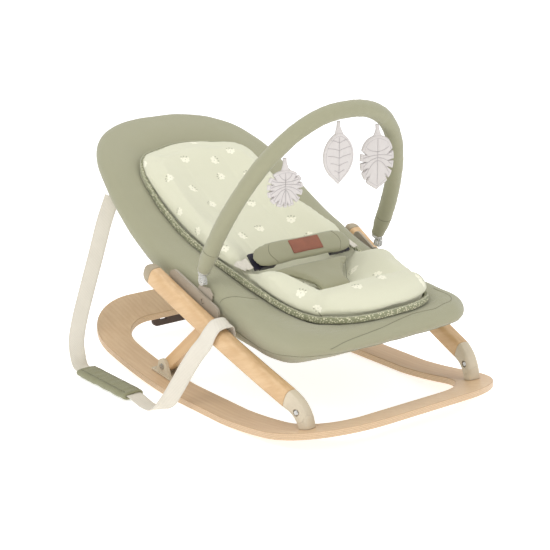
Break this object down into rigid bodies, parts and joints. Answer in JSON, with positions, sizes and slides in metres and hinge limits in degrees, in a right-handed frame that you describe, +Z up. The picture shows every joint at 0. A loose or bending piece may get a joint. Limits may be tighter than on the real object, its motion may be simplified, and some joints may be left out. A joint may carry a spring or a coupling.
{
  "type": "baby bouncer seat",
  "caption": "Baby rocker on a bent plywood ring with folding light-wood arms and legs, padded sage seat with printed cushion, lap harness, toy bar with fabric leaf toys and a carry strap.",
  "frame": {"origin": "on the floor, below the middle of the whole seat's bounding box without its loose carry strap", "axes": "+X towards the baby's feet, +Y to the baby's left, +Z up"},
  "size_m": [0.758, 0.5154, 0.4959],
  "materials": {
    "plywood": "clear-lacquered bent plywood with its plies showing on the edge",
    "beech": "clear-lacquered light wood",
    "beige_plastic": "fine matte moulded plastic",
    "grey_plastic": "fine matte moulded plastic",
    "brown_plastic": "matte moulded plastic",
    "clear_plastic": "translucent moulded plastic",
    "dark_plastic": "satin moulded plastic",
    "steel": "zinc-plated steel",
    "tube": "painted tube",
    "sage_fabric": "fine woven cotton blend",
    "cream_fabric": "soft printed cotton",
    "olive_fabric": "small-patterned cotton",
    "webbing": "flat woven webbing",
    "terracotta_leather": "smooth leather-like patch",
    "toy_felt": "quilted soft fabric"
  },
  "bodies": {
    "base": {"rocker_base": "plywood", "front_foot_left": "beige_plastic", "front_foot_right": "beige_plastic", "arm_pivot_screw_left": "steel", "arm_pivot_screw_right": "steel", "leg_bracket_left": "beige_plastic", "leg_bracket_right": "beige_plastic", "leg_pin_left": "steel", "leg_pin_right": "steel", "stand_pin": "steel", "stand_lug_left": "brown_plastic", "stand_lug_right": "brown_plastic", "carry_strap": "webbing", "strap_grip": "sage_fabric"},
    "rocking_stop": {"stand_plate": "brown_plastic"},
    "arms": {"arm_left": "beech", "arm_right": "beech", "arm_knuckle_left": "beige_plastic", "arm_knuckle_right": "beige_plastic", "arm_cap_left": "grey_plastic", "arm_cap_right": "grey_plastic", "recline_rail_left": "grey_plastic", "recline_rail_right": "grey_plastic"},
    "legs": {"leg_left": "beech", "leg_right": "beech"},
    "seat": {"seat_cover": "sage_fabric", "seat_sling": "sage_fabric", "seat_frame": "tube", "cushion": "cream_fabric", "cushion_edge_band": "olive_fabric", "seat_bracket_left": "grey_plastic", "seat_bracket_right": "grey_plastic", "bar_socket_left": "clear_plastic", "bar_socket_right": "clear_plastic", "belt_pad": "sage_fabric", "belt_label": "terracotta_leather", "crotch_pad": "sage_fabric", "buckle_left": "dark_plastic", "buckle_right": "dark_plastic"},
    "toy_bar": {"toy_bar_sleeve": "sage_fabric", "toy_bar_core": "steel", "bar_clip_left": "clear_plastic", "bar_clip_right": "clear_plastic"},
    "palm_leaf_toy": {"toy_palm_leaf": "toy_felt"},
    "plain_leaf_toy": {"toy_plain_leaf": "toy_felt"},
    "monstera_leaf_toy": {"toy_monstera_leaf": "toy_felt"},
    "belt_tongue_left": {"buckle_tongue_left": "dark_plastic", "belt_webbing_left": "webbing"},
    "release_button_left": {"buckle_button_left": "dark_plastic"},
    "belt_tongue_right": {"buckle_tongue_right": "dark_plastic", "belt_webbing_right": "webbing"},
    "release_button_right": {"buckle_button_right": "dark_plastic"}
  },
  "joints": [
    {"name": "stop_fold", "type": "hinge", "parent": "base", "child": "rocking_stop", "pos_m": [-0.274, 0, 0.0445], "axis": [0, 1, 0], "range_deg": [0, 90]},
    {"name": "arm_fold", "type": "hinge", "parent": "base", "child": "arms", "pos_m": [0.286, 0, 0.058], "axis": [0, -1, 0], "range_deg": [0, 17], "deforming": ["carry_strap"]},
    {"name": "leg_fold", "type": "hinge", "parent": "base", "child": "legs", "pos_m": [-0.066, 0, 0.033], "axis": [0, 1, 0], "range_deg": [0, 32.3]},
    {"name": "seat_recline", "type": "hinge", "parent": "arms", "child": "seat", "pos_m": [0.051, 0, 0.176], "axis": [0, -1, 0], "range_deg": [-3, 8]},
    {"name": "toy_bar_swing", "type": "hinge", "parent": "seat", "child": "toy_bar", "pos_m": [0.046, 0, 0.209], "axis": [0, 1, 0], "range_deg": [-50, 20]},
    {"name": "palm_leaf_swing", "type": "hinge", "parent": "toy_bar", "child": "palm_leaf_toy", "pos_m": [0.15639, -0.107, 0.44069], "axis": [0, 1, 0], "range_deg": [-32, 32]},
    {"name": "plain_leaf_swing", "type": "hinge", "parent": "toy_bar", "child": "plain_leaf_toy", "pos_m": [0.17742, -0.018, 0.48197], "axis": [0, 1, 0], "range_deg": [-32, 32]},
    {"name": "monstera_leaf_swing", "type": "hinge", "parent": "toy_bar", "child": "monstera_leaf_toy", "pos_m": [0.1706, 0.068, 0.46858], "axis": [0, 1, 0], "range_deg": [-32, 32]},
    {"name": "tongue_release_left", "type": "slide", "parent": "seat", "child": "belt_tongue_left", "axis": [0, 1, 0], "range_m": [0, 0.014]},
    {"name": "button_press_left", "type": "slide", "parent": "seat", "child": "release_button_left", "axis": [-0.7071, 0, -0.7071], "range_m": [0, 0.0009], "stiffness_N_per_m": 400},
    {"name": "tongue_release_right", "type": "slide", "parent": "seat", "child": "belt_tongue_right", "axis": [0, -1, 0], "range_m": [0, 0.014]},
    {"name": "button_press_right", "type": "slide", "parent": "seat", "child": "release_button_right", "axis": [-0.7071, 0, -0.7071], "range_m": [0, 0.0009], "stiffness_N_per_m": 400}
  ],
  "couplings": [
    {"joint": "leg_fold", "follows": "arm_fold", "ratio": 1.9}
  ]
}
